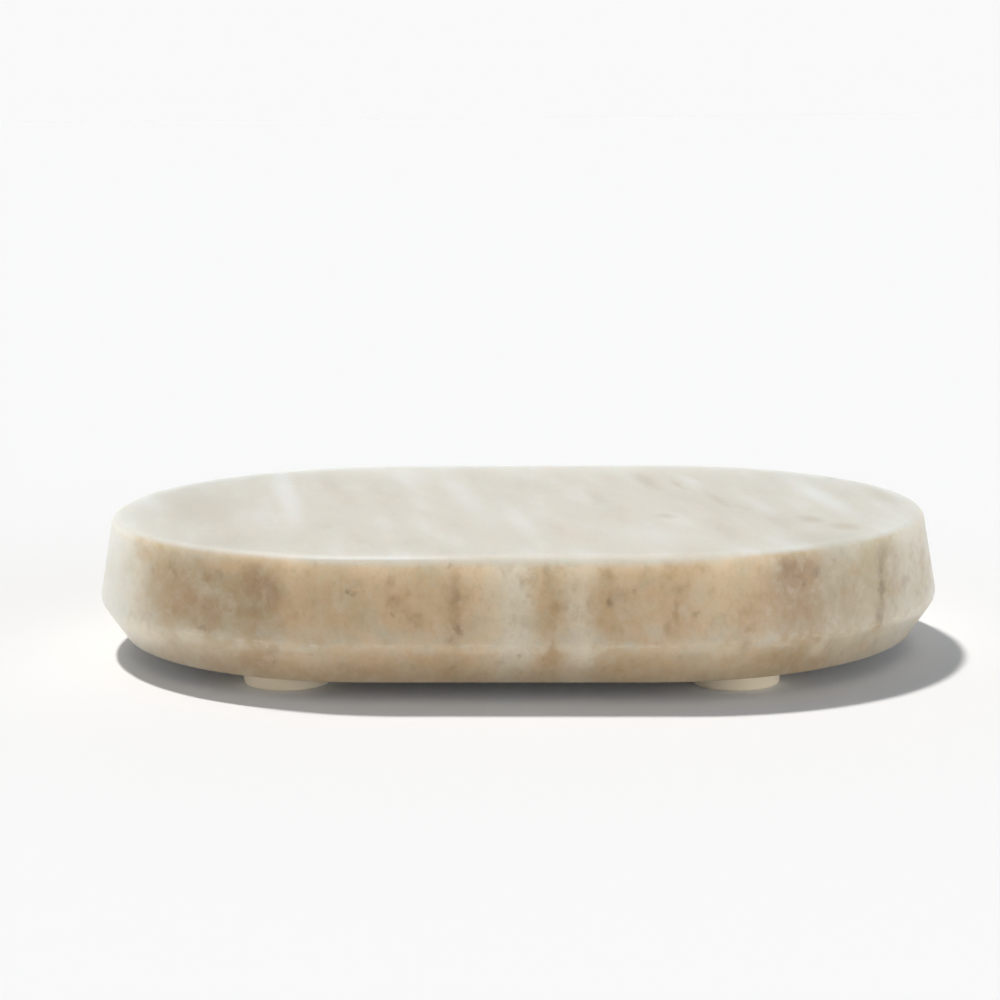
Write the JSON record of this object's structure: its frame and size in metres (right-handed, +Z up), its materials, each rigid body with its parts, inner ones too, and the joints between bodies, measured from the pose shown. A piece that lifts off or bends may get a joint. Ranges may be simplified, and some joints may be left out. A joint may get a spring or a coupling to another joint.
{
  "type": "soap dish",
  "caption": "Oval soap dish: a solid block of banded beige stone with a flat top, gently leaning sides and an undercut base, raised on small round feet.",
  "frame": {"origin": "on the surface that the dish stands on, under the middle of the dish", "axes": "+X along the dish to the right as seen in the picture, +Y to the rear, +Z up"},
  "size_m": [0.1398, 0.0968, 0.023],
  "materials": {
    "stone": "honed",
    "foot": "matte",
    "adhesive": "tacky film"
  },
  "bodies": {
    "root": {"stone_dish": "stone", "foot_front_left": "foot", "foot_front_right": "foot", "foot_rear_left": "foot", "foot_rear_right": "foot", "adhesive_front_left": "adhesive", "adhesive_front_right": "adhesive", "adhesive_rear_left": "adhesive", "adhesive_rear_right": "adhesive"}
  },
  "joints": []
}
